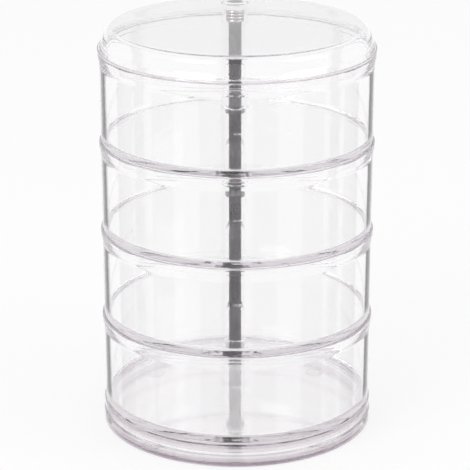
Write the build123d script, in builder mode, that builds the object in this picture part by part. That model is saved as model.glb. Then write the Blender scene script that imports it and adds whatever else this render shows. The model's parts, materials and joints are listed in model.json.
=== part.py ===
from build123d import *
import os

# A round tower of clear trays that swing out on one upright rod, in millimetres.
# The origin is at the middle of the face that the pads stand on. +Z is up, the front is at -Y
# and the rod is at the back, at +Y. Trays are counted from the top.

# Driving sizes of the tower
tower_radius = 81.5        # outside of a tray's wall where its flare begins
tray_count = 4
tray_pitch = 54.6          # from the underside of one tray to the next
rod_inset = 22.0           # from the outside of that wall in to the rod's axis
rod_radius = 4.0
axis_gap = 0.08            # radial running clearance between the rod and what turns on it
layer_gap = 0.3            # clearance between the layers that swing over each other
seat_gap = 0.03            # clearance of what is pressed or glued into its seat

# Tray
tray_rim_overhang = 0.9    # how far the rim stands out from the wall
tray_draft = 0.2           # how far the wall draws in down to the floor
tray_wall = 2.7
tray_rim_wall = 2.1        # the wall under the rim, where its inside is widened
tray_floor = 2.6
rim_height = 3.6           # upright band of the rim
rim_step = 0.5             # how far that band stands out from the flare under it
rim_edge = 0.8
flare_height = 5.0
flare_bend = 14.0
foot_edge = 1.2
floor_bend = 2.6

# Hub and sleeve of a tray
sleeve_wall = 1.62
sleeve_height = 31.0       # above the floor
sleeve_taper_height = 3.2
sleeve_taper = 1.0
hub_wall = 1.8
hub_height = 7.0           # above the floor
hub_bend = 1.4
hub_edge = 0.7

# Retaining rings on the rod
ring_wall = 2.27
ring_height = 2.9
ring_edge = 0.3

# Lid
lid_overhang = 1.1         # how far the lid's edge stands out from the trays' walls
lid_height = 14.2
lid_wall = 1.8
lid_inset = 1.7            # how far the lid's wall stands in from the trays' walls
lid_draft = 0.8            # how far the wall draws in up to the shoulder
lid_shoulder_bend = 6.0
lid_rim_height = 1.4       # upright band of the edge
lid_flare_height = 3.4
lid_flare_bend = 4.0
lid_edge = 0.5

# Boss that hangs in the lid and turns on the rod, and the insert in it
lid_boss_wall = 1.97       # clear material round the insert
lid_boss_rise = 1.0        # how far the boss stands above the lid
lid_boss_bend = 0.8
lid_boss_edge = 0.4
insert_wall = 1.77         # metal round the rod, over the ribs
insert_height = 7.6
insert_lift = 1.0          # from the boss's underside up to the insert
insert_rib_count = 4
insert_rib_depth = 0.5
rod_tip_gap = 0.3          # from the rod's top end to the top of the insert
rod_edge = 0.5

# Base
pad_height = 0.8
pad_radius = 5.5
pad_inset = 8.5            # from the trays' walls in to the middles of the pads
pad_count = 4
cover_height = 2.0
cover_lap = 1.5            # ledge that the cover lies against
base_foot_overhang = 0.8   # how far the foot stands out from the trays' walls
base_foot_height = 6.5
base_top_overhang = 0.5    # how far the upper band stands out from the trays' walls
base_top_height = 5.0
base_groove_height = 3.0   # between the foot and the upper band
base_groove_depth = 1.0
base_groove_slope = 0.9
base_wall = 3.0
base_plate = 3.0
base_edge = 0.6
base_bend = 2.0

# Rod's seat in the base
boss_wall = 3.5            # material round the ring's seat
rod_web = 2.0              # floor of the rod's socket
rod_screw_radius = 2.5
rod_screw_depth = 9.0      # thread in the rod's foot
screw_slack = 0.25
screw_head_lap = 1.9       # how far the head stands out from the thread
screw_head_height = 2.0
screw_key_radius = 1.5     # hexagon socket, to its corners
screw_key_depth = 1.2
rod_washer_wall = 2.25
rod_washer_height = 0.8
washer_slack = 0.3

# Places worked out from the sizes
rod_offset = tower_radius - rod_inset
rod_place = (0, rod_offset)
rod_axis = Axis((0, rod_offset, 0), (0, 0, 1))
rod_profile_plane = Plane(origin=(0, rod_offset, 0), x_dir=(1, 0, 0), z_dir=(0, -1, 0))
base_top = pad_height + base_foot_height + base_groove_height + base_top_height
lowest_level = base_top + layer_gap
lid_level = lowest_level + tray_count * tray_pitch
bore_radius = rod_radius + axis_gap
seat_radius = rod_radius + seat_gap
sleeve_radius = bore_radius + sleeve_wall
ring_radius = seat_radius + ring_wall
insert_radius = bore_radius + insert_wall
insert_level = lid_level + insert_lift
rod_top = insert_level + insert_height - rod_tip_gap

cover_top = pad_height + cover_height
boss_foot = cover_top + layer_gap
screw_seat = boss_foot + screw_head_height + rod_washer_height
rod_foot = screw_seat + rod_web
rod_washer_radius = rod_screw_radius + screw_slack + rod_washer_wall


def tray_level(number):
    """Height of the underside of a tray, where tray 1 is the top one."""
    return lowest_level + (tray_count - number) * tray_pitch


def finish_piece(piece, name):
    """Labels a finished piece and writes it to its own file."""
    piece.part.label = name
    export_step(piece.part, f"parts/{name}.step")


def make_ring(name, top):
    """A retaining ring that is pressed on the rod, with its bearing face at the given height."""
    with BuildPart() as ring:
        with BuildSketch(Plane.XY.offset(top - ring_height)):
            with Locations(rod_place):
                Circle(ring_radius)
                Circle(seat_radius, mode=Mode.SUBTRACT)
        extrude(amount=ring_height)
        outer_edges = ring.faces().filter_by(GeomType.CYLINDER).sort_by(SortBy.AREA)[-1].edges()
        chamfer(outer_edges.filter_by(GeomType.CIRCLE), ring_edge)
    finish_piece(ring, name)


def make_sleeve(number):
    """The clear tube that carries a tray on the rod, with a tapered top."""
    foot = tray_level(number)
    top = foot + tray_floor + sleeve_height
    with BuildPart() as sleeve:
        with BuildSketch(rod_profile_plane):
            Polygon(
                (bore_radius, foot),
                (sleeve_radius, foot),
                (sleeve_radius, top - sleeve_taper_height),
                (sleeve_radius - sleeve_taper, top),
                (bore_radius, top),
                align=None,
            )
        revolve(axis=rod_axis)
    finish_piece(sleeve, f"pivot_sleeve_{number}")


def make_tray(number):
    """One open tray: a floor, a thin round wall that flares out to its rim, and the hub at the back."""
    underside = tray_level(number)
    floor_top = underside + tray_floor
    rim_top = underside + tray_pitch - layer_gap
    rim_foot = rim_top - rim_height
    flare_foot = rim_foot - flare_height
    foot_radius = tower_radius - tray_draft
    rim_radius = tower_radius + tray_rim_overhang
    under_rim = rim_radius - rim_step
    hub_radius = sleeve_radius + hub_wall
    with BuildPart() as tray:
        with BuildSketch(Plane.XZ):
            with BuildLine():
                FilletPolyline(
                    (0, underside),
                    (foot_radius, underside),
                    (tower_radius, flare_foot),
                    (under_rim, rim_foot),
                    (rim_radius, rim_foot + rim_step),
                    (rim_radius, rim_top),
                    (under_rim - tray_rim_wall, rim_top),
                    (under_rim - tray_rim_wall, rim_foot),
                    (tower_radius - tray_wall, flare_foot),
                    (foot_radius - tray_wall, floor_top),
                    (0, floor_top),
                    radius=(foot_edge, flare_bend, 0, rim_step / 2, rim_edge, rim_edge, 0,
                            flare_bend, floor_bend),
                )
                Line((0, floor_top), (0, underside))
            make_face()
        revolve(axis=Axis.Z)
        with BuildSketch(rod_profile_plane):
            with BuildLine():
                FilletPolyline(
                    (0, underside),
                    (hub_radius + hub_bend + hub_edge, underside),
                    (hub_radius + hub_bend + hub_edge, floor_top),
                    (hub_radius, floor_top),
                    (hub_radius, floor_top + hub_height),
                    (0, floor_top + hub_height),
                    radius=(0, 0, hub_bend, hub_edge),
                )
                Line((0, floor_top + hub_height), (0, underside))
            make_face()
        revolve(axis=rod_axis)
        with Locations((0, rod_offset, underside)):
            Hole(sleeve_radius + seat_gap)
    finish_piece(tray, f"tray_{number}")


def make_lid():
    """The lid: a cap with a round shoulder and a flared edge, and the boss that turns on the rod."""
    lid_top = lid_level + lid_height
    rim_top = lid_level + lid_rim_height
    wall_foot = rim_top + lid_flare_height
    rim_radius = tower_radius + lid_overhang
    under_rim = rim_radius - lid_edge
    wall_radius = tower_radius - lid_inset
    shoulder_radius = wall_radius - lid_draft
    boss_radius = insert_radius + seat_gap + lid_boss_wall
    boss_root = boss_radius + lid_boss_bend + lid_boss_edge
    boss_top = lid_top + lid_boss_rise
    with BuildPart() as lid:
        with BuildSketch(Plane.XZ):
            with BuildLine():
                FilletPolyline(
                    (0, lid_top - lid_wall),
                    (shoulder_radius - lid_wall, lid_top - lid_wall),
                    (wall_radius - lid_wall, wall_foot),
                    (under_rim - lid_wall, lid_level),
                    (rim_radius, lid_level),
                    (rim_radius, rim_top),
                    (under_rim, rim_top),
                    (wall_radius, wall_foot),
                    (shoulder_radius, lid_top),
                    (0, lid_top),
                    radius=(lid_shoulder_bend - lid_wall, lid_flare_bend, 0, lid_edge, lid_edge / 2, 0,
                            lid_flare_bend, lid_shoulder_bend),
                )
                Line((0, lid_top), (0, lid_top - lid_wall))
            make_face()
        revolve(axis=Axis.Z)
        with BuildSketch(rod_profile_plane):
            with BuildLine():
                FilletPolyline(
                    (0, lid_level),
                    (boss_radius, lid_level),
                    (boss_radius, lid_top - lid_wall),
                    (boss_root, lid_top - lid_wall),
                    (boss_root, lid_top),
                    (boss_radius, lid_top),
                    (boss_radius, boss_top),
                    (0, boss_top),
                    radius=(lid_boss_edge, lid_boss_bend, 0, 0, 0, lid_boss_edge),
                )
                Line((0, boss_top), (0, lid_level))
            make_face()
        revolve(axis=rod_axis)
        with BuildSketch(Plane.XY.offset(lid_level)):
            with Locations(rod_place):
                Circle(insert_radius + seat_gap)
        extrude(amount=insert_lift + insert_height + seat_gap, mode=Mode.SUBTRACT)
    finish_piece(lid, "lid")


def make_lid_insert():
    """The ribbed metal insert that is pressed into the lid's boss and turns on the rod's tip."""
    rib_pitch = insert_height / insert_rib_count
    ribs = [(bore_radius, insert_level)]
    for number in range(insert_rib_count):
        rib_foot = insert_level + number * rib_pitch
        ribs.append((insert_radius - insert_rib_depth, rib_foot))
        ribs.append((insert_radius, rib_foot + rib_pitch / 2))
    ribs.append((insert_radius - insert_rib_depth, insert_level + insert_height))
    ribs.append((bore_radius, insert_level + insert_height))
    with BuildPart() as insert:
        with BuildSketch(rod_profile_plane):
            Polygon(*ribs, align=None)
        revolve(axis=rod_axis)
    finish_piece(insert, "lid_insert")


def make_rod():
    """The rod, from its socket in the base up into the lid, with the threaded hole in its foot."""
    with BuildPart() as rod:
        with BuildSketch(Plane.XY.offset(rod_foot)):
            with Locations(rod_place):
                Circle(rod_radius)
        extrude(amount=rod_top - rod_foot)
        chamfer(rod.edges().filter_by(GeomType.CIRCLE), rod_edge)
        with BuildSketch(Plane.XY.offset(rod_foot)):
            with Locations(rod_place):
                Circle(rod_screw_radius + seat_gap)
        extrude(amount=rod_screw_depth + screw_slack, mode=Mode.SUBTRACT)
    finish_piece(rod, "pivot_rod")


def make_rod_screw():
    """The screw that holds the rod down, and the washer under its head."""
    head_foot = screw_seat - rod_washer_height - screw_head_height
    head_top = screw_seat - rod_washer_height
    with BuildPart() as screw:
        with BuildSketch(Plane.XY.offset(head_foot)):
            with Locations(rod_place):
                Circle(rod_screw_radius + screw_head_lap)
        extrude(amount=screw_head_height)
        with BuildSketch(Plane.XY.offset(head_top)):
            with Locations(rod_place):
                Circle(rod_screw_radius)
        extrude(amount=rod_foot + rod_screw_depth - head_top)
        with BuildSketch(Plane.XY.offset(head_foot)):
            with Locations(rod_place):
                RegularPolygon(screw_key_radius, 6)
        extrude(amount=screw_key_depth, mode=Mode.SUBTRACT)
    finish_piece(screw, "rod_screw")

    with BuildPart() as washer:
        with BuildSketch(Plane.XY.offset(head_top)):
            with Locations(rod_place):
                Circle(rod_washer_radius)
                Circle(rod_screw_radius + screw_slack, mode=Mode.SUBTRACT)
        extrude(amount=rod_washer_height)
    finish_piece(washer, "rod_washer")


def make_base():
    """The base: a dish turned over, with a groove round it, and the boss that holds the rod."""
    foot_top = pad_height + base_foot_height
    top_foot = base_top - base_top_height
    foot_radius = tower_radius + base_foot_overhang
    top_radius = tower_radius + base_top_overhang
    groove_radius = top_radius - base_groove_depth
    inner_radius = groove_radius - base_wall
    ledge_radius = inner_radius + cover_lap
    plate_foot = base_top - base_plate
    with BuildPart() as shell:
        with BuildSketch(Plane.XZ):
            with BuildLine():
                FilletPolyline(
                    (0, plate_foot),
                    (inner_radius, plate_foot),
                    (inner_radius, cover_top),
                    (ledge_radius, cover_top),
                    (ledge_radius, pad_height),
                    (foot_radius, pad_height),
                    (foot_radius, foot_top),
                    (groove_radius, foot_top + base_groove_slope),
                    (groove_radius, top_foot - base_groove_slope),
                    (top_radius, top_foot),
                    (top_radius, base_top),
                    (0, base_top),
                    radius=(base_bend, 0, 0, 0, base_edge, base_edge, base_edge, base_edge, base_edge,
                            base_edge),
                )
                Line((0, base_top), (0, plate_foot))
            make_face()
        revolve(axis=Axis.Z)
        with BuildSketch(Plane.XY.offset(boss_foot)):
            with Locations(rod_place):
                Circle(ring_radius + washer_slack + boss_wall)
        extrude(amount=base_top - boss_foot)
        with BuildSketch(rod_profile_plane):
            Polygon(
                (0, boss_foot),
                (rod_washer_radius + washer_slack, boss_foot),
                (rod_washer_radius + washer_slack, screw_seat),
                (rod_screw_radius + screw_slack, screw_seat),
                (rod_screw_radius + screw_slack, rod_foot),
                (seat_radius, rod_foot),
                (seat_radius, base_top - ring_height),
                (ring_radius + washer_slack, base_top - ring_height),
                (ring_radius + washer_slack, base_top),
                (0, base_top),
                align=None,
            )
        revolve(axis=rod_axis, mode=Mode.SUBTRACT)
    finish_piece(shell, "base_shell")

    with BuildPart() as cover:
        with BuildSketch(Plane.XY.offset(pad_height)):
            Circle(ledge_radius - washer_slack)
        extrude(amount=cover_height)
    finish_piece(cover, "base_cover")

    with BuildPart() as feet:
        with BuildSketch(Plane.XY):
            with PolarLocations(tower_radius - pad_inset, pad_count, start_angle=180 / pad_count):
                Circle(pad_radius)
        extrude(amount=pad_height)
    finish_piece(feet, "base_feet")


os.makedirs("parts", exist_ok=True)
make_base()
make_rod()
make_rod_screw()
for tray_number in range(1, tray_count + 1):
    make_tray(tray_number)
    make_sleeve(tray_number)
    make_ring(f"tray_ring_{tray_number}", tray_level(tray_number) - layer_gap)
make_lid()
make_lid_insert()
print("Tower", 2 * (tower_radius + lid_overhang), "wide and", lid_level + lid_height + lid_boss_rise, "high")
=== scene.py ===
# %% [markdown]
# # A round tower of clear trays
# The object is a keepsake tower: a base, four open trays and a shallow cap lid, all of clear moulded
# acrylic. Each layer turns out to the side on one dark steel rod near the back, and the lid has a
# round boss with a ribbed metal insert for the rod's tip. The CAD model gives every size, so
# Blender's work is to make smooth meshes for the clear pieces and to give each surface the finish of
# the real material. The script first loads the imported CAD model, which stays where it is and carries
# the new pieces when a tray swings.

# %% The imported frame
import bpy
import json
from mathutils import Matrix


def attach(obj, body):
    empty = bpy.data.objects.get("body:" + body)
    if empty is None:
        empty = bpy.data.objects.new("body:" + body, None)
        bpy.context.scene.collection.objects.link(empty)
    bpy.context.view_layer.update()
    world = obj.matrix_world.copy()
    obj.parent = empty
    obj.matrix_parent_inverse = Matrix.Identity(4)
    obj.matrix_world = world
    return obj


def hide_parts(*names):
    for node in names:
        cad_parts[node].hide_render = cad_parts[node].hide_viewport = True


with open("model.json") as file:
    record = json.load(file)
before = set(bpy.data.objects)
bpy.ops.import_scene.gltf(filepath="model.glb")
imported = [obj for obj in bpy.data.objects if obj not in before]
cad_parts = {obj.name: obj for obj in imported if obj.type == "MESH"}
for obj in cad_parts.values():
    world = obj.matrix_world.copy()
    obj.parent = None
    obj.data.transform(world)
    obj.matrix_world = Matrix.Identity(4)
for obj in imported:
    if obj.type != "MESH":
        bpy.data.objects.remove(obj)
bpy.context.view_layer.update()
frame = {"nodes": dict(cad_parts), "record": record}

import json
import math

import bmesh
import bpy
from mathutils import Vector

nodes = frame["nodes"]
record = frame["record"]
body_of_node = {node: body for body, group in record["behaviour"]["bodies"].items() for node in group}
slot_of_node = {part["node"]: part["material_slot"] for part in record["subparts"]}

# %% [markdown]
# ## Camera
# A product picture of something this small is taken from more than a metre away with a long lens,
# which keeps the walls of the tower nearly parallel. The place, tilt and lens come from fitting the
# ellipses of the rims, so the camera is set by numbers and not by eye.

# %% Camera
camera_place = (-0.02648, -1.26432, 0.5524)
camera_tilt_down = math.radians(18.99)
camera_turn = math.radians(-1.144)
lens_length = 168.6

camera = bpy.data.objects.new("camera", bpy.data.cameras.new("camera"))
bpy.context.scene.collection.objects.link(camera)
bpy.context.scene.camera = camera
camera.data.lens = lens_length
camera.location = camera_place
camera.rotation_euler = (math.pi / 2 - camera_tilt_down, 0, camera_turn)
bpy.context.scene.view_settings.view_transform = "Standard"
print("camera", round(Vector(camera_place).length, 3), "m away")

# %% [markdown]
# ## Studio
# Clear plastic has hardly a colour of its own: what shows is what it bends and mirrors. A
# photographer stands it before a bright background and keeps parts of the room darker, and then each
# edge draws itself as a thin grey line. The world here does the same. Rays that only pass straight
# through the plastic meet white, as the camera does. Rays that were mirrored on the way meet a bright
# room. It has narrow dark strips, the same on all sides, but only for light that was mirrored inside
# one upright wall, which enters and leaves the plastic once and keeps the camera's tilt. So the dark
# lines just inside each silhouette are drawn, and the clear insides stay clean. Over the walls runs
# an even band, darker at its foot, which is what the flat top of the lid mirrors, then a bright
# ceiling. Light Path tells these rays apart: Glossy Depth counts the mirrorings and Transmission
# Depth the surfaces passed.

# %% Node helpers
def add_node(tree, kind, settings=None, **inputs):
    """Adds one node. Inputs are values or sockets, by name with _ for a blank, or as i0, i1, i2."""
    node = tree.nodes.new(kind)
    for name, value in (settings or {}).items():
        setattr(node, name, value)
    for name, value in inputs.items():
        numbered = name[0] == "i" and name[1:].isdigit()
        socket = node.inputs[int(name[1:]) if numbered else name.replace("_", " ")]
        if isinstance(value, bpy.types.NodeSocket):
            tree.links.new(value, socket)
        else:
            socket.default_value = value
    return node


def maths(tree, operation, *values):
    """One Math node with its values or sockets in order."""
    inputs = {f"i{place}": value for place, value in enumerate(values)}
    return add_node(tree, "ShaderNodeMath", {"operation": operation}, **inputs).outputs[0]


def blend_range(tree, value, low, high, low_out=0.0, high_out=1.0):
    """Maps a value smoothly from one range to another."""
    node = add_node(tree, "ShaderNodeMapRange", {"interpolation_type": "SMOOTHSTEP"},
                    Value=value, From_Min=low, From_Max=high, To_Min=low_out, To_Max=high_out)
    return node.outputs[0]


print("node helpers ready")

# %% World
strip_count = 8                 # dark strips round the horizon
strip_edge = -0.25              # the cosine where a strip starts to fade
strip_fade = 0.4                # how much further it takes to the full wall level
strip_dark = 0.03
strip_foot, strip_head = -0.49, -0.17   # slopes between which the strips stand
slope_fade = 0.03
wall_level = 1.0                # the walls between the strips
low_band = 0.8                  # what the flat top of the lid mirrors
low_band_foot, low_band_top = 0.248, 0.27
band_level = 0.96               # what the floors of the trays mirror
ground_level = 0.95             # straight down
overhead = 0.95                 # the ceiling
plain_light = 0.75              # the light on anything that isn't glass or metal

world = bpy.data.worlds.new("studio_room")
bpy.context.scene.world = world
world.use_nodes = True
tree = world.node_tree
tree.nodes.clear()
path = add_node(tree, "ShaderNodeLightPath")
looking = add_node(tree, "ShaderNodeTexCoord").outputs["Generated"]
direction = add_node(tree, "ShaderNodeSeparateXYZ", Vector=looking)
azimuth = maths(tree, "ARCTAN2", direction.outputs["X"], direction.outputs["Y"])
strips = maths(tree, "COSINE", maths(tree, "MULTIPLY", azimuth, strip_count))
dark_strips = blend_range(tree, strips, strip_edge, strip_edge + strip_fade, strip_dark, wall_level)
inside_wall = maths(tree, "COMPARE", path.outputs["Transmission Depth"], 2.0, 0.5)
slope = direction.outputs["Z"]
over_foot = blend_range(tree, slope, strip_foot - slope_fade, strip_foot + slope_fade)
under_head = blend_range(tree, slope, strip_head - slope_fade, strip_head + slope_fade, 1.0, 0.0)
strip_height = maths(tree, "MULTIPLY", over_foot, under_head)
walls = add_node(tree, "ShaderNodeMix", {"data_type": "FLOAT"}, i2=wall_level, i3=dark_strips,
                 Factor=maths(tree, "MULTIPLY", inside_wall, strip_height)).outputs[0]
band = blend_range(tree, slope, low_band_foot, low_band_top, low_band, band_level)
walls_and_ground = add_node(tree, "ShaderNodeMix", {"data_type": "FLOAT"}, i2=ground_level, i3=walls,
                            Factor=blend_range(tree, slope, -0.8, -0.6)).outputs[0]
walls_and_band = add_node(tree, "ShaderNodeMix", {"data_type": "FLOAT"}, i2=walls_and_ground, i3=band,
                          Factor=blend_range(tree, slope, 0.1, 0.2)).outputs[0]
room = add_node(tree, "ShaderNodeMix", {"data_type": "FLOAT"}, i2=walls_and_band, i3=overhead,
                Factor=blend_range(tree, slope, 0.45, 0.7)).outputs[0]
mirrored = maths(tree, "GREATER_THAN", path.outputs["Glossy Depth"], 0.5)
straight = add_node(tree, "ShaderNodeMix", {"data_type": "FLOAT"}, i2=1.0, i3=room,
                    Factor=mirrored).outputs[0]
level = add_node(tree, "ShaderNodeMix", {"data_type": "FLOAT"}, i2=straight, i3=plain_light,
                 Factor=path.outputs["Is Diffuse Ray"]).outputs[0]
background = add_node(tree, "ShaderNodeBackground", Strength=level)
background.inputs["Color"].default_value = (1.0, 1.0, 1.0, 1.0)
tree.links.new(background.outputs[0], add_node(tree, "ShaderNodeOutputWorld").inputs["Surface"])
print("room with", strip_count, "dark strips")

# %% Floor
floor_side = 8.0
floor_shadow_share = 0.18       # how much of the floor's look is lit paint, which shows the shadow
shadow_share_through = 0.05     # the same for the floor seen through the clear walls

floor_mesh = bpy.data.meshes.new("studio_floor")
half = floor_side / 2
corners = [(-half, -half, 0), (half, -half, 0), (half, half, 0), (-half, half, 0)]
floor_mesh.from_pydata(corners, [], [(0, 1, 2, 3)])
floor = bpy.data.objects.new("studio_floor", floor_mesh)
bpy.context.scene.collection.objects.link(floor)
floor_paint = bpy.data.materials.new("floor_paint")
floor_paint.use_nodes = True
tree = floor_paint.node_tree
tree.nodes.clear()
path = add_node(tree, "ShaderNodeLightPath")
lit = add_node(tree, "ShaderNodeBsdfDiffuse", Color=(0.95, 0.95, 0.95, 1.0))
white = add_node(tree, "ShaderNodeEmission", Strength=1.0)
shadow_share = add_node(tree, "ShaderNodeMix", {"data_type": "FLOAT"}, i2=shadow_share_through,
                        i3=floor_shadow_share, Factor=path.outputs["Is Camera Ray"]).outputs[0]
seen = add_node(tree, "ShaderNodeMixShader", Fac=shadow_share)
tree.links.new(white.outputs[0], seen.inputs[1])
tree.links.new(lit.outputs[0], seen.inputs[2])
through_or_mirrored = maths(tree, "MAXIMUM", path.outputs["Is Transmission Ray"],
                            path.outputs["Is Glossy Ray"])
looked_at = maths(tree, "MAXIMUM", path.outputs["Is Camera Ray"], through_or_mirrored)
plain_or_seen = add_node(tree, "ShaderNodeMixShader", Fac=looked_at)
tree.links.new(lit.outputs[0], plain_or_seen.inputs[1])
tree.links.new(seen.outputs[0], plain_or_seen.inputs[2])
once_mirrored = maths(tree, "GREATER_THAN", path.outputs["Glossy Depth"], 0.5)
open_to_room = add_node(tree, "ShaderNodeMixShader", Fac=once_mirrored)
tree.links.new(plain_or_seen.outputs[0], open_to_room.inputs[1])
tree.links.new(add_node(tree, "ShaderNodeBsdfTransparent").outputs[0], open_to_room.inputs[2])
tree.links.new(open_to_room.outputs[0], add_node(tree, "ShaderNodeOutputMaterial").inputs["Surface"])
floor_mesh.materials.append(floor_paint)
print("floor", floor_side, "m wide")

# %% Lamps
lamp_target = (0, 0, 0.12)      # the middle of the tower


def soft_lamp(name, place, side, watts):
    """A square soft box that looks at the middle of the tower."""
    lamp = bpy.data.objects.new(name, bpy.data.lights.new(name, "AREA"))
    lamp.data.size = side
    lamp.data.energy = watts
    lamp.location = place
    ahead = Vector(lamp_target) - Vector(place)
    lamp.rotation_euler = ahead.to_track_quat("-Z", "Y").to_euler()
    bpy.context.scene.collection.objects.link(lamp)
    return lamp


soft_lamp("key_lamp", (-0.9, -1.0, 1.3), 0.8, 9.0)
soft_lamp("fill_lamp", (1.1, -0.5, 1.0), 0.8, 4.0)
print("two soft lamps")

# %% [markdown]
# ## Glass needs many bounces
# A look through the tower crosses up to a dozen clear walls, and each wall has two surfaces. Light
# that gets into the edge of a floor runs along inside it, mirrored up and down dozens of times, and
# comes out at the far edge: across the lid that is about eighty times. With Blender's usual limits
# both kinds of ray are dropped, and the rims turn black, so the limits rise.

# %% Bounces
cycles = bpy.context.scene.cycles
bounce_limit = 140
cycles.max_bounces = bounce_limit
cycles.transmission_bounces = bounce_limit
cycles.glossy_bounces = bounce_limit
cycles.transparent_max_bounces = 12
print("bounces", cycles.max_bounces)

# %% [markdown]
# ## Shared surface effects
# Real mouldings are never perfectly flat. Three effects come back in several materials, so each is a
# node group that is built once: the slow waves of plastic that cooled in a mould, the fine marks of
# handling, and the long streaks of drawn metal. A group puts out numbers that vary over the surface,
# and each material decides how strongly it takes them.

# %% Group helper
def start_group(name, inputs, outputs):
    """An empty shader node group with float sockets. inputs has name: default, outputs has names."""
    group = bpy.data.node_groups.new(name, "ShaderNodeTree")
    for socket, default in inputs.items():
        made = group.interface.new_socket(socket, in_out="INPUT", socket_type="NodeSocketFloat")
        made.default_value = default
    for socket in outputs:
        group.interface.new_socket(socket, in_out="OUTPUT", socket_type="NodeSocketFloat")
    return group, group.nodes.new("NodeGroupInput"), group.nodes.new("NodeGroupOutput")


def stretched(group, scale, turn=(0, 0, 0)):
    """The piece's own coordinates, turned and stretched, for a texture."""
    place = add_node(group, "ShaderNodeTexCoord").outputs["Object"]
    return add_node(group, "ShaderNodeMapping", Vector=place, Scale=scale, Rotation=turn).outputs[0]


print("group helper ready")

# %% Moulding waves
moulding_waves, waves_in, waves_out = start_group(
    "moulding_waves", {"Wave Size": 30.0, "Ripple Share": 0.25}, ["Height", "Mask"])
wide = add_node(moulding_waves, "ShaderNodeTexNoise", Detail=1.0,
                Vector=stretched(moulding_waves, (1, 1, 0.45)))
moulding_waves.links.new(waves_in.outputs["Wave Size"], wide.inputs["Scale"])
fine = add_node(moulding_waves, "ShaderNodeTexNoise", Detail=2.0,
                Vector=stretched(moulding_waves, (1, 1, 2.5)))
fine_size = maths(moulding_waves, "MULTIPLY", waves_in.outputs["Wave Size"], 5.0)
moulding_waves.links.new(fine_size, fine.inputs["Scale"])
ripple = maths(moulding_waves, "MULTIPLY", fine.outputs[0], waves_in.outputs["Ripple Share"])
moulding_waves.links.new(maths(moulding_waves, "ADD", wide.outputs[0], ripple), waves_out.inputs["Height"])
moulding_waves.links.new(wide.outputs[0], waves_out.inputs["Mask"])
print(moulding_waves.name, "has", len(moulding_waves.nodes), "nodes")

# %% Handling marks
handling_marks, marks_in, marks_out = start_group(
    "handling_marks", {"Scratch Width": 0.012, "Smudge Size": 45.0}, ["Scratches", "Smudges"])
scratch_runs = [((9, 260, 60), (0.5, 0.2, 0.3)),     # a stretch and a turn for each set of scratches
                ((260, 11, 45), (-0.4, 0.7, 1.1)),
                ((60, 70, 420), (0.2, 0.9, 2.0))]
scratch_masks = []
for scale, turn in scratch_runs:
    streak = add_node(handling_marks, "ShaderNodeTexNoise", Vector=stretched(handling_marks, scale, turn),
                      Scale=1.0, Detail=0.0)
    away = maths(handling_marks, "ABSOLUTE", maths(handling_marks, "SUBTRACT", streak.outputs[0], 0.5))
    scratch_masks.append(maths(handling_marks, "LESS_THAN", away, marks_in.outputs["Scratch Width"]))
patches = add_node(handling_marks, "ShaderNodeTexNoise", Scale=60.0, Detail=3.0,
                   Vector=stretched(handling_marks, (1, 1, 1)))
in_patch = blend_range(handling_marks, patches.outputs[0], 0.52, 0.66)
first_two = maths(handling_marks, "MAXIMUM", *scratch_masks[:2])
scratches = maths(handling_marks, "MAXIMUM", first_two, scratch_masks[2])
scratches = maths(handling_marks, "MULTIPLY", scratches, in_patch)
handling_marks.links.new(scratches, marks_out.inputs["Scratches"])
smudge = add_node(handling_marks, "ShaderNodeTexNoise", Vector=stretched(handling_marks, (1, 1, 0.6)),
                  Detail=4.0, Distortion=0.6)
handling_marks.links.new(marks_in.outputs["Smudge Size"], smudge.inputs["Scale"])
smudges = blend_range(handling_marks, smudge.outputs[0], 0.42, 0.72)
handling_marks.links.new(smudges, marks_out.inputs["Smudges"])
print(handling_marks.name, "has", len(handling_marks.nodes), "nodes")

# %% Drawn streaks
drawn_streaks, streaks_in, streaks_out = start_group(
    "drawn_streaks", {"Streak Count": 1.0}, ["Streaks", "Clouds"])
line_noise = add_node(drawn_streaks, "ShaderNodeTexNoise", Detail=3.0,
                      Vector=stretched(drawn_streaks, (1600, 1600, 14)))
drawn_streaks.links.new(streaks_in.outputs["Streak Count"], line_noise.inputs["Scale"])
cloud_noise = add_node(drawn_streaks, "ShaderNodeTexNoise", Scale=90.0, Detail=3.0,
                       Vector=stretched(drawn_streaks, (1, 1, 0.4)))
fine_lines = blend_range(drawn_streaks, line_noise.outputs[0], 0.3, 0.7)
clouds = blend_range(drawn_streaks, cloud_noise.outputs[0], 0.3, 0.75)
drawn_streaks.links.new(fine_lines, streaks_out.inputs["Streaks"])
drawn_streaks.links.new(clouds, streaks_out.inputs["Clouds"])
print(drawn_streaks.name, "has", len(drawn_streaks.nodes), "nodes")

# %% [markdown]
# ## Light with a long way
# Light that runs a long way through the plastic takes on its faint mauve grey. That happens where
# thick edges meet, at the joints between the layers, and in the two bands of the base. A volume tint
# alone would also grey the flat floors, so a fourth group marks those places by their height and
# their distance from the middle, and painted shade gives the clear plastic a deeper colour there. Its
# sizes are in metres, as all coordinates in a material are.

# %% Long light, painted as shade
joint_inside = (0.078, 0.0795)       # radii between which the joint lines fade in
bands_inside = (0.0735, 0.0765)      # the same for the bands of the base
groove_below_joint = 0.0074          # middle of the base's groove
groove_half_width = (0.0012, 0.0022)

# The group marks where painted shade goes: the joint lines between the layers and the bands of the base.
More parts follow.
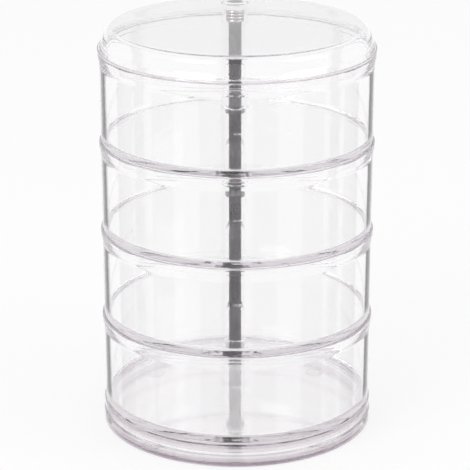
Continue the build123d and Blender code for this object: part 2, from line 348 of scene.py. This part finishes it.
long_light_shade, long_in, long_out = start_group(
    "long_light_shade", {"Joint Level": 0.0156, "Layer Height": 0.0546, "Line Width": 0.0006},
    ["Joints", "Base Band Shade"])
place = add_node(long_light_shade, "ShaderNodeSeparateXYZ",
                 Vector=add_node(long_light_shade, "ShaderNodeTexCoord").outputs["Object"])
flat = add_node(long_light_shade, "ShaderNodeCombineXYZ", X=place.outputs["X"], Y=place.outputs["Y"])
radius = add_node(long_light_shade, "ShaderNodeVectorMath", {"operation": "LENGTH"},
                  i0=flat.outputs[0]).outputs["Value"]
over_joint = maths(long_light_shade, "SUBTRACT", place.outputs["Z"], long_in.outputs["Joint Level"])
half_layer = maths(long_light_shade, "MULTIPLY", long_in.outputs["Layer Height"], 0.5)
from_joint = maths(long_light_shade, "PINGPONG", over_joint, half_layer)
in_line = maths(long_light_shade, "DIVIDE", from_joint, long_in.outputs["Line Width"])
joint_shade_line = blend_range(long_light_shade, in_line, 0.8, 1.4, 1.0, 0.0)
joint_shade_line = maths(long_light_shade, "MULTIPLY", joint_shade_line, blend_range(long_light_shade, radius, *joint_inside))
long_light_shade.links.new(joint_shade_line, long_out.inputs["Joints"])
below = blend_range(long_light_shade, over_joint, -0.0003, 0.0, 1.0, 0.0)
from_groove = maths(long_light_shade, "ABSOLUTE", maths(long_light_shade, "ADD", over_joint, groove_below_joint))
band_shade = maths(long_light_shade, "MULTIPLY", blend_range(long_light_shade, radius, *bands_inside),
              blend_range(long_light_shade, from_groove, *groove_half_width))
long_light_shade.links.new(maths(long_light_shade, "MULTIPLY", band_shade, below), long_out.inputs["Base Band Shade"])
print(long_light_shade.name, "has", len(long_light_shade.nodes), "nodes")

# %% Material helpers
def group_node(tree, group, **inputs):
    """Places a shared group in a material with its own values."""
    node = tree.nodes.new("ShaderNodeGroup")
    node.node_tree = group
    for name, value in inputs.items():
        node.inputs[name.replace("_", " ")].default_value = value
    return node


def start_material(name):
    """A material with a Principled shader, and its node tree."""
    material = bpy.data.materials.new(name)
    material.use_nodes = True
    tree = material.node_tree
    return material, tree, tree.nodes["Principled BSDF"]


def bump(tree, shader, height, distance):
    """Raises the surface by distance metres where height is 1."""
    node = add_node(tree, "ShaderNodeBump", Height=height, Distance=distance, Strength=1.0)
    tree.links.new(node.outputs[0], shader.inputs["Normal"])


print("material helpers ready")

# %% [markdown]
# ## Clear acrylic
# The trays, the lid and the base are one clear plastic. It could be a Glass shader, but the
# Principled shader with full transmission does the same and exports well. The refractive index of
# acrylic is 1.49. The wall is polished, so its roughness is close to nothing and only rises a little
# where hands have left marks. The moulding waves bend the reflections by a fraction of a degree.

# %% Clear plastics
acrylic_index = 1.49
smudge_share = 0.35                  # how strongly smudges roughen, beside scratches
depth_colour = (0.2, 0.1, 0.2, 1.0)
# Painted shade colours for the joints and the bands of the base, mixed into the clear colour.
joint_shade_colour = (0.74, 0.71, 0.74, 1.0)
band_shade_colour = (0.78, 0.74, 0.77, 1.0)


def clear_plastic(name, colour, smooth_roughness, marked_roughness, wave_height, depth_density):
    """Clear moulded plastic with handling marks, moulding waves, a tint that grows with depth, and painted
    shade at the joints and the base's bands.
    """
    material, tree, shader = start_material(name)
    marks = group_node(tree, handling_marks, Scratch_Width=0.006)
    waves = group_node(tree, moulding_waves, Wave_Size=26.0)
    shader.inputs["Transmission Weight"].default_value = 1.0
    shader.inputs["IOR"].default_value = acrylic_index
    smudges = maths(tree, "MULTIPLY", marks.outputs["Smudges"], smudge_share)
    worn = maths(tree, "MAXIMUM", marks.outputs["Scratches"], smudges)
    rough = add_node(tree, "ShaderNodeMapRange", Value=worn,
                     To_Min=smooth_roughness, To_Max=marked_roughness)
    tree.links.new(rough.outputs[0], shader.inputs["Roughness"])
    tint = add_node(tree, "ShaderNodeMix", {"data_type": "RGBA"}, Factor=waves.outputs["Mask"],
                    A=colour, B=tuple(c * 0.994 for c in colour[:3]) + (1.0,))
    # Painted shade: a darker colour on the joint lines and in the base's bands.
    edges = group_node(tree, long_light_shade)
    with_joint_shade = add_node(tree, "ShaderNodeMix", {"data_type": "RGBA"}, Factor=edges.outputs["Joints"],
                     A=tint.outputs["Result"], B=joint_shade_colour)
    with_band_shade = add_node(tree, "ShaderNodeMix", {"data_type": "RGBA"}, Factor=edges.outputs["Base Band Shade"],
                      A=with_joint_shade.outputs["Result"], B=band_shade_colour)
    tree.links.new(with_band_shade.outputs["Result"], shader.inputs["Base Color"])
    bump(tree, shader, waves.outputs["Height"], wave_height)
    depth = add_node(tree, "ShaderNodeVolumeAbsorption", Color=depth_colour, Density=depth_density)
    tree.links.new(depth.outputs[0], tree.nodes["Material Output"].inputs["Volume"])
    return material


clear_acrylic = clear_plastic("clear_acrylic", (0.997, 0.995, 0.997, 1.0), 0.0, 0.05, 0.00002, 2.4)
clear_sleeve = clear_plastic("clear_sleeve", (0.98, 0.98, 0.985, 1.0), 0.03, 0.12, 0.00002, 3.5)
print("two clear plastics")

# %% Soft pads
def soft_clear(name, colour, roughness, grain):
    """Soft clear rubber-like plastic, with a fine moulded grain."""
    material, tree, shader = start_material(name)
    waves = group_node(tree, moulding_waves, Wave_Size=120.0, Ripple_Share=0.6)
    marks = group_node(tree, handling_marks, Smudge_Size=160.0)
    shader.inputs["Transmission Weight"].default_value = 0.95
    shader.inputs["IOR"].default_value = 1.42
    tint = add_node(tree, "ShaderNodeMix", {"data_type": "RGBA"}, Factor=marks.outputs["Smudges"],
                    A=colour, B=tuple(c * 0.95 for c in colour[:3]) + (1.0,))
    tree.links.new(tint.outputs["Result"], shader.inputs["Base Color"])
    rough = add_node(tree, "ShaderNodeMapRange", Value=waves.outputs["Mask"],
                     To_Min=roughness, To_Max=roughness + 0.1)
    tree.links.new(rough.outputs[0], shader.inputs["Roughness"])
    bump(tree, shader, waves.outputs["Height"], grain)
    return material


soft_pad = soft_clear("soft_pad", (0.97, 0.97, 0.97, 1.0), 0.12, 0.00003)
print("pads")

# %% [markdown]
# ## Metals
# The rod and its rings have a dark nickel plating over drawn steel, the screw and washer are plain
# zinc plated steel, and the insert is bright. All are one recipe with other colours: fine streaks
# along the length and a cloudy plating. The insert's grooves hold shadow that hardly reaches the eye
# through the boss, so painted shade darkens them in its colour by their height, and the end face above them
# too.

# %% Metals
def drawn_metal(name, light, dark, roughness, streak_height):
    """Metal with fine streaks along its length and cloudy plating."""
    material, tree, shader = start_material(name)
    streaks = group_node(tree, drawn_streaks)
    shader.inputs["Metallic"].default_value = 1.0
    cloudy = maths(tree, "ADD", maths(tree, "MULTIPLY", streaks.outputs["Streaks"], 0.6),
                   maths(tree, "MULTIPLY", streaks.outputs["Clouds"], 0.4))
    tint = add_node(tree, "ShaderNodeMix", {"data_type": "RGBA"}, Factor=cloudy, A=dark, B=light)
    tree.links.new(tint.outputs["Result"], shader.inputs["Base Color"])
    rough = add_node(tree, "ShaderNodeMapRange", Value=streaks.outputs["Clouds"],
                     To_Min=roughness, To_Max=roughness + 0.12)
    tree.links.new(rough.outputs[0], shader.inputs["Roughness"])
    bump(tree, shader, streaks.outputs["Streaks"], streak_height)
    return material


dark_rod = drawn_metal("dark_rod", (0.11, 0.1, 0.112, 1.0), (0.055, 0.05, 0.06, 1.0), 0.22, 0.000004)
insert_metal = drawn_metal("insert_metal", (0.75, 0.7, 0.73, 1.0), (0.5, 0.46, 0.49, 1.0), 0.25, 0.000004)
plain_steel = drawn_metal("plain_steel", (0.66, 0.66, 0.66, 1.0), (0.5, 0.5, 0.51, 1.0), 0.3, 0.000004)
print("three metals")

# %% Grooves of the insert
insert_foot = 0.235                  # in metres, like the other sizes in a material
insert_end = 0.2425
groove_pitch = 0.0019
# Painted shade: a near-black colour for the grooves and the end face of the insert.
groove_shade_colour = (0.03, 0.027, 0.03, 1.0)

tree = insert_metal.node_tree
shader = tree.nodes["Principled BSDF"]
upright = add_node(tree, "ShaderNodeSeparateXYZ",
                   Vector=add_node(tree, "ShaderNodeTexCoord").outputs["Object"]).outputs["Z"]
over_foot = maths(tree, "SUBTRACT", upright, insert_foot)
from_groove = maths(tree, "PINGPONG", over_foot, groove_pitch / 2)
groove = blend_range(tree, from_groove, 0.0002, 0.0005, 1.0, 0.0)
end_face_shade = blend_range(tree, upright, insert_end - 0.0001, insert_end + 0.00005)
plating = shader.inputs["Base Color"].links[0].from_socket
# The painted shade goes into the plating's colour where the grooves and the end face are.
ribbed_with_shade = add_node(tree, "ShaderNodeMix", {"data_type": "RGBA"}, A=plating, B=groove_shade_colour,
                  Factor=maths(tree, "MAXIMUM", groove, end_face_shade))
tree.links.new(ribbed_with_shade.outputs["Result"], shader.inputs["Base Color"])
print("grooves every", groove_pitch, "m")

# %% Finishes on the CAD pieces
finishes = {"clear_acrylic": clear_acrylic, "clear_sleeve": clear_sleeve, "dark_rod": dark_rod,
            "plain_steel": plain_steel, "insert_metal": insert_metal, "soft_pad": soft_pad}
for node, piece in nodes.items():
    piece.data.materials.clear()
    piece.data.materials.append(finishes[slot_of_node[node]])
print(len(finishes), "finishes")

# %% [markdown]
# ## Turned pieces
# Nearly every piece is round, so its shape is one outline turned about an upright axis, as on a
# lathe. Blender's Screw modifier could turn a curve, but here the rings of points are made directly,
# because a tray's floor also has a hub that isn't in its middle: the floor is then one flat face
# between two rings. The corners of each outline get small arcs, since a moulded edge is never sharp
# and a clear edge only draws its line when it is round. Sizes are in millimetres, as in the CAD
# model, and become metres when the points are made.

# %% Outline and turning
MM = 0.001
ARC_STEP = math.radians(12)
TURN_PARTS = 192                # steps round a large piece
SMALL_PARTS = 64                # steps round a piece on the rod


def rounded(*corners):
    """An outline of (radius, height) points from corners (radius, height, bend)."""
    outline = [Vector(corners[0][:2])]
    for before, here, after in zip(corners, corners[1:], corners[2:]):
        corner = Vector(here[:2])
        bend = here[2] if len(here) > 2 else 0
        back = (Vector(before[:2]) - corner).normalized()
        ahead = (Vector(after[:2]) - corner).normalized()
        opening = back.angle(ahead)
        if not bend or opening > math.pi - 0.001:
            outline.append(corner)
            continue
        start = corner + back * bend / math.tan(opening / 2)
        centre = corner + (back + ahead).normalized() * bend / math.sin(opening / 2)
        spoke = start - centre
        sweep = math.pi - opening
        if back.x * ahead.y - back.y * ahead.x > 0:
            sweep = -sweep
        steps = max(3, math.ceil(abs(sweep) / ARC_STEP))
        for step in range(steps + 1):
            turn = sweep * step / steps
            outline.append(centre + Vector((spoke.x * math.cos(turn) - spoke.y * math.sin(turn),
                                            spoke.x * math.sin(turn) + spoke.y * math.cos(turn))))
    outline.append(Vector(corners[-1][:2]))
    return outline


def turned(mesh, outline, middle, parts, closed=False):
    """Turns an outline about the upright axis through middle, and returns its first and last ring."""
    rings = []
    for radius, height in outline:
        if radius < 1e-6:
            rings.append([mesh.verts.new((middle[0] * MM, middle[1] * MM, height * MM))])
            continue
        angles = [2 * math.pi * part / parts for part in range(parts)]
        rings.append([mesh.verts.new(((middle[0] + radius * math.cos(angle)) * MM,
                                      (middle[1] + radius * math.sin(angle)) * MM, height * MM))
                      for angle in angles])
    next_rings = rings[1:] + rings[:1] if closed else rings[1:]
    for low, high in zip(rings, next_rings):
        for part in range(parts):
            after = (part + 1) % parts
            corners = [low[part % len(low)], low[after % len(low)],
                       high[after % len(high)], high[part % len(high)]]
            mesh.faces.new(list(dict.fromkeys(corners)))
    return rings[0], rings[-1]


def flat_between(mesh, *rings):
    """Fills the flat face between rings that lie in one level."""
    edges = [mesh.edges.get((ring[place - 1], ring[place])) for ring in rings for place in range(len(ring))]
    bmesh.ops.triangle_fill(mesh, edges=edges, use_beauty=True, normal=(0, 0, 1))


def finished_piece(mesh, name, *stands_for):
    """Makes the object, smooths it, gives it its finish and lets it ride with the node it stands for."""
    bmesh.ops.recalc_face_normals(mesh, faces=mesh.faces)
    data = bpy.data.meshes.new(name)
    mesh.to_mesh(data)
    mesh.free()
    data.shade_smooth()
    data.set_sharp_from_angle(angle=math.radians(50))
    piece = bpy.data.objects.new(name, data)
    bpy.context.scene.collection.objects.link(piece)
    weighted = piece.modifiers.new("even_shading", "WEIGHTED_NORMAL")
    weighted.keep_sharp = True
    weighted.weight = 100
    slot = slot_of_node[stands_for[0]]
    data.materials.append(finishes[slot])
    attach(piece, body_of_node[stands_for[0]])
    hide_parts(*stands_for)
    return piece


print("turning helpers ready")

# %% [markdown]
# ## Trays
# A tray has a flat floor, a thin wall that flares out under a thicker rim, and at the back a short
# hub for the tube that carries it. Under the middle of the floor is the small round mark where the
# plastic entered the mould. The outline goes round the outside from the underside and comes back
# inside, and two flat faces close it round the hub.

# %% Sizes that the layers share
tower_radius = 81.5
tray_pitch = 54.6
lowest_level = 15.6
layer_gap = 0.3
tray_wall = 2.7
tray_rim_wall = 2.1
tray_floor = 2.6
rod_place = (0, 59.5)
rod_radius = 4
bore_radius = 4.08
sleeve_radius = 5.7
hub_wall = 1.8
hub_radius = sleeve_radius + hub_wall
press_gap = 0.03                # round a piece that is pressed into another
tray_count = 4
lid_level = lowest_level + tray_count * tray_pitch
rim_step = 0.5                  # the step under each rim
small_edge = 0.2


def tray_level(number):
    """Height of a tray's underside. Tray 1 is the top one."""
    return lowest_level + (tray_count - number) * tray_pitch


print("lid at", lid_level, "mm")

# %% Trays
rim_height = 3.6
rim_overhang = 0.9
flare_height = 5.0
flare_bend = 14                 # a wide arc, so the flare starts softly
tray_draft = 0.2                # how far the wall draws in down to the foot
foot_bend = 1.2
inner_bend = 2.6
hub_height = 7
gate_radius = 2.2               # the mark of the mould
gate_depth = 0.25
gate_core_depth = 0.1


def make_tray(number):
    """One tray: its shell, the hub for its tube and the mark of the mould."""
    underside = tray_level(number)
    floor_top = underside + tray_floor
    rim_top = underside + tray_pitch - layer_gap
    rim_foot = rim_top - rim_height
    flare_foot = rim_foot - flare_height
    foot_radius = tower_radius - tray_draft
    rim_radius = tower_radius + rim_overhang
    under_rim = rim_radius - rim_step
    shell = rounded(
        (foot_radius - 3, underside),
        (foot_radius, underside, foot_bend),
        (tower_radius, flare_foot, flare_bend),
        (under_rim, rim_foot, 0.25),
        (rim_radius, rim_foot + rim_step, 0.25),
        (rim_radius, rim_top, 0.8),
        (under_rim - tray_rim_wall, rim_top, 0.8),
        (under_rim - tray_rim_wall, rim_foot),
        (tower_radius - tray_wall, flare_foot, flare_bend),
        (foot_radius - tray_wall, floor_top, inner_bend),
        (foot_radius - tray_wall - 6, floor_top),
    )
    hub = rounded(
        (hub_radius + 3, floor_top),
        (hub_radius, floor_top, 1.4),
        (hub_radius, floor_top + hub_height, 0.7),
        (sleeve_radius + press_gap, floor_top + hub_height, small_edge),
        (sleeve_radius + press_gap, underside, small_edge),
        (sleeve_radius + 1, underside),
    )
    gate = rounded(
        (gate_radius + 0.4, underside),
        (gate_radius, underside, 0.15),
        (gate_radius - 0.2, underside + gate_depth, 0.15),
        (0.8, underside + gate_depth, 0.1),
        (0.5, underside + gate_core_depth, 0.1),
        (0, underside + gate_core_depth),
    )
    mesh = bmesh.new()
    foot_ring, floor_ring = turned(mesh, shell, (0, 0), TURN_PARTS)
    hub_top_ring, hub_foot_ring = turned(mesh, hub, rod_place, SMALL_PARTS)
    gate_ring, _ = turned(mesh, gate, (0, 0), SMALL_PARTS)
    flat_between(mesh, floor_ring, hub_top_ring)
    flat_between(mesh, foot_ring, hub_foot_ring, gate_ring)
    return finished_piece(mesh, f"clear_tray_{number}", f"tray_{number}")


trays = [make_tray(number) for number in range(1, tray_count + 1)]
print(len(trays), "trays with", len(trays[0].data.polygons), "faces each")

# %% [markdown]
# ## Sleeves
# Each tray is carried by a clear tube round the rod. The tube is pressed into the hub, stands well
# above it and gets thinner at its top. It is one closed outline turned about the rod.

# %% Sleeves
sleeve_height = 31
taper_height = 3.2
taper = 1                       # how much thinner the tube gets at its top


def make_sleeve(number):
    """The tube that carries a tray, closed all round."""
    foot = tray_level(number)
    top = foot + tray_floor + sleeve_height
    outline = rounded(
        (bore_radius + 0.6, foot),
        (sleeve_radius, foot, small_edge),
        (sleeve_radius, top - taper_height, 1.5),
        (sleeve_radius - taper, top, small_edge),
        (bore_radius, top, small_edge),
        (bore_radius, foot, small_edge),
        (bore_radius + 0.6, foot),
    )[:-1]
    mesh = bmesh.new()
    turned(mesh, outline, rod_place, SMALL_PARTS, closed=True)
    return finished_piece(mesh, f"sleeve_tube_{number}", f"pivot_sleeve_{number}")


sleeves = [make_sleeve(number) for number in range(1, tray_count + 1)]
print(len(sleeves), "sleeves")

# %% [markdown]
# ## Lid
# The lid is a shallow cap of even thickness with a round shoulder, open from below. Its edge flares
# out and lies on the top tray. The boss for the rod hangs from the flat top, so the lid has two
# outlines: the cap about the tower's middle, and the boss about the rod, which goes over the small
# rise on top, and inside down the boss and up again into the pocket of the insert.

# %% Lid
lid_height = 14.2
lid_wall = 1.8
lid_overhang = 1.1
lid_inset = 1.7                 # how far the lid's wall stands in from the trays' walls
lid_draft = 0.8
lid_rim_height = 1.4
lid_flare_height = 3.4
lid_flare_bend = 4.0
shoulder_bend = 6.0
insert_wall = 1.77
boss_wall = 1.97
boss_rise = 1
insert_lift = 1.0
insert_height = 7.6

lid_top = lid_level + lid_height
lid_radius = tower_radius + lid_overhang
lid_under = lid_radius - rim_step
rim_top = lid_level + lid_rim_height
wall_foot = rim_top + lid_flare_height
lid_wall_radius = tower_radius - lid_inset
shoulder_radius = lid_wall_radius - lid_draft
insert_radius = bore_radius + insert_wall
pocket_radius = insert_radius + press_gap
boss_radius = pocket_radius + boss_wall
insert_level = lid_level + insert_lift
insert_top = insert_level + insert_height
pocket_top = insert_top + press_gap

cap_outline = rounded(
    (shoulder_radius - 9, lid_top),
    (shoulder_radius, lid_top, shoulder_bend),
    (lid_wall_radius, wall_foot, lid_flare_bend),
    (lid_under, rim_top, 0.1),
    (lid_radius, rim_top, 0.25),
    (lid_radius, lid_level, 0.5),
    (lid_under - lid_wall, lid_level, 0.15),
    (lid_wall_radius - lid_wall, wall_foot, lid_flare_bend),
    (shoulder_radius - lid_wall, lid_top - lid_wall, shoulder_bend - lid_wall),
    (shoulder_radius - lid_wall - 7, lid_top - lid_wall),
)
boss_rise_outline = rounded(
    (boss_radius + 1.2, lid_top),
    (boss_radius, lid_top, 0.3),
    (boss_radius, lid_top + boss_rise, 0.4),
    (0, lid_top + boss_rise),
)
boss_hanging_outline = rounded(
    (boss_radius + 1.2, lid_top - lid_wall),
    (boss_radius, lid_top - lid_wall, 0.8),
    (boss_radius, lid_level, 0.4),
    (pocket_radius, lid_level, 0.2),
    (pocket_radius, pocket_top, 0.15),
    (0, pocket_top),
)
mesh = bmesh.new()
top_ring, inside_ring = turned(mesh, cap_outline, (0, 0), TURN_PARTS)
rise_ring, _ = turned(mesh, boss_rise_outline, rod_place, SMALL_PARTS)
boss_ring, _ = turned(mesh, boss_hanging_outline, rod_place, SMALL_PARTS)
flat_between(mesh, top_ring, rise_ring)
flat_between(mesh, inside_ring, boss_ring)
lid = finished_piece(mesh, "clear_lid", "lid")
print("lid with", len(lid.data.polygons), "faces")

# %% [markdown]
# ## Base
# The base is a dish turned over, with a groove round it. Inside, a round boss holds the foot of the
# rod: its outline goes down the outside of the boss, up through the seat of the washer and the hole
# of the screw, and into the socket of the rod.

# %% Base
pad_height = 0.8
base_wall = 3.0
base_plate = 3.0
cover_height = 2.0
cover_lap = 1.5                 # the ledge that the cover lies against
groove_depth = 1.0
base_edge = 0.6
ring_radius = 6.3
ring_height = 2.9
base_boss_wall = 3.8
screw_hole_radius = 2.75
screw_head_room = 5.3           # radius of the room for the screw's head and its washer
screw_head_depth = 2.8
seat_height = 2.0
low_edge, groove_foot, groove_top, high_edge = 7.3, 8.2, 9.4, 10.3      # heights of the groove's corners

base_top = lowest_level - layer_gap
foot_radius = tower_radius + 0.8
top_radius = tower_radius + 0.5
groove_radius = top_radius - groove_depth
inner_radius = groove_radius - base_wall
ledge_radius = inner_radius + cover_lap
plate_foot = base_top - base_plate
cover_top = pad_height + cover_height
boss_foot = cover_top + layer_gap
screw_seat = boss_foot + screw_head_depth
rod_foot = screw_seat + seat_height
base_boss_radius = ring_radius + base_boss_wall
socket_radius = rod_radius + press_gap
ring_seat_radius = ring_radius + layer_gap

base_outline = rounded(
    (inner_radius - 5, plate_foot),
    (inner_radius, plate_foot, 2.0),
    (inner_radius, cover_top, 0.15),
    (ledge_radius, cover_top, 0.15),
    (ledge_radius, pad_height, 0.3),
    (foot_radius, pad_height, base_edge),
    (foot_radius, low_edge, base_edge),
    (groove_radius, groove_foot, base_edge),
    (groove_radius, groove_top, base_edge),
    (top_radius, high_edge, base_edge),
    (top_radius, base_top, base_edge),
    (top_radius - 3, base_top),
)
boss_outline = rounded(
    (base_boss_radius + 2.2, plate_foot),
    (base_boss_radius, plate_foot, 1.0),
    (base_boss_radius, boss_foot, 0.4),
    (screw_head_room, boss_foot, small_edge),
    (screw_head_room, screw_seat, 0.1),
    (screw_hole_radius, screw_seat, 0.1),
    (screw_hole_radius, rod_foot, 0.1),
    (socket_radius, rod_foot, 0.1),
    (socket_radius, base_top - ring_height, 0.1),
    (ring_seat_radius, base_top - ring_height, 0.1),
    (ring_seat_radius, base_top, small_edge),
    (8.0, base_top),
)
mesh = bmesh.new()
inside_ring, deck_ring = turned(mesh, base_outline, (0, 0), TURN_PARTS)
boss_ring, socket_ring = turned(mesh, boss_outline, rod_place, SMALL_PARTS)
flat_between(mesh, inside_ring, boss_ring)
flat_between(mesh, deck_ring, socket_ring)
base = finished_piece(mesh, "clear_base", "base_shell")
print("base with", len(base.data.polygons), "faces")

# %% Base cover and pads
cover_radius = ledge_radius - layer_gap
cover_edge = 0.3
cover_outline = rounded(
    (0, pad_height),
    (cover_radius, pad_height, cover_edge),
    (cover_radius, cover_top, cover_edge),
    (0, cover_top),
)
mesh = bmesh.new()
turned(mesh, cover_outline, (0, 0), TURN_PARTS)
finished_piece(mesh, "clear_base_cover", "base_cover")

pad_radius = 5.5
pad_place = tower_radius - 8.5
pad_outline = rounded(
    (0, 0),
    (pad_radius, 0, 0.35),
    (pad_radius, pad_height, 0.2),
    (0, pad_height),
)
mesh = bmesh.new()
for quarter in range(4):
    angle = math.pi / 4 + quarter * math.pi / 2
    middle = (pad_place * math.cos(angle), pad_place * math.sin(angle))
    turned(mesh, pad_outline, middle, SMALL_PARTS)
finished_piece(mesh, "soft_pads", "base_feet")
print("base closed, on four pads")

# %% [markdown]
# ## Rod, rings and insert
# The rod is one dark bar from the base up into the lid. A pressed ring under each tray carries it.
# The insert in the lid's boss is ribbed on the outside, which keeps it from slipping out of the
# plastic.

# %% Rod and rings
rod_edge = 0.5
rod_top = insert_top - layer_gap
thread_radius = 2.53            # the hole for the screw in the rod's foot
thread_depth = 9.25
thread_top = rod_foot + thread_depth
rod_outline = rounded(
    (0, thread_top),
    (thread_radius, thread_top, 0.1),
    (thread_radius, rod_foot, 0.2),
    (rod_radius - rod_edge, rod_foot, 0.1),
    (rod_radius, rod_foot + rod_edge, 0.2),
    (rod_radius, rod_top - rod_edge, 0.2),
    (rod_radius - rod_edge, rod_top, 0.1),
    (0, rod_top),
)
mesh = bmesh.new()
turned(mesh, rod_outline, rod_place, SMALL_PARTS)
rod = finished_piece(mesh, "dark_pivot_rod", "pivot_rod")


def make_ring(number):
    """The retaining ring under a tray."""
    top = tray_level(number) - layer_gap
    foot = top - ring_height
    ring_outline = rounded(
        (5, foot),
        (ring_radius, foot, 0.3),
        (ring_radius, top, 0.3),
        (socket_radius, top, 0.1),
        (socket_radius, foot, 0.1),
        (5, foot),
    )[:-1]
    mesh = bmesh.new()
    turned(mesh, ring_outline, rod_place, SMALL_PARTS, closed=True)
    return finished_piece(mesh, f"carrying_ring_{number}", f"tray_ring_{number}")


for number in range(1, tray_count + 1):
    make_ring(number)
print("rod from", round(rod_foot, 2), "to", round(rod_top, 2), "mm")

# %% Insert
rib_count = 4
rib_depth = 0.5
rib_pitch = insert_height / rib_count
foot_middle = 4.6               # where the outline starts, on the flat foot
ribs = [(foot_middle, insert_level)]
for rib in range(rib_count):
    rib_foot = insert_level + rib * rib_pitch
    ribs.append((insert_radius - rib_depth, rib_foot, 0.08))
    ribs.append((insert_radius, rib_foot + rib_pitch / 2, 0.2))
ribs += [(insert_radius - rib_depth, insert_top, 0.08), (bore_radius, insert_top, 0.1),
         (bore_radius, insert_level, 0.1), (foot_middle, insert_level)]
mesh = bmesh.new()
turned(mesh, rounded(*ribs)[:-1], rod_place, SMALL_PARTS, closed=True)
finished_piece(mesh, "ribbed_insert", "lid_insert")
print("insert up to", insert_top, "mm")
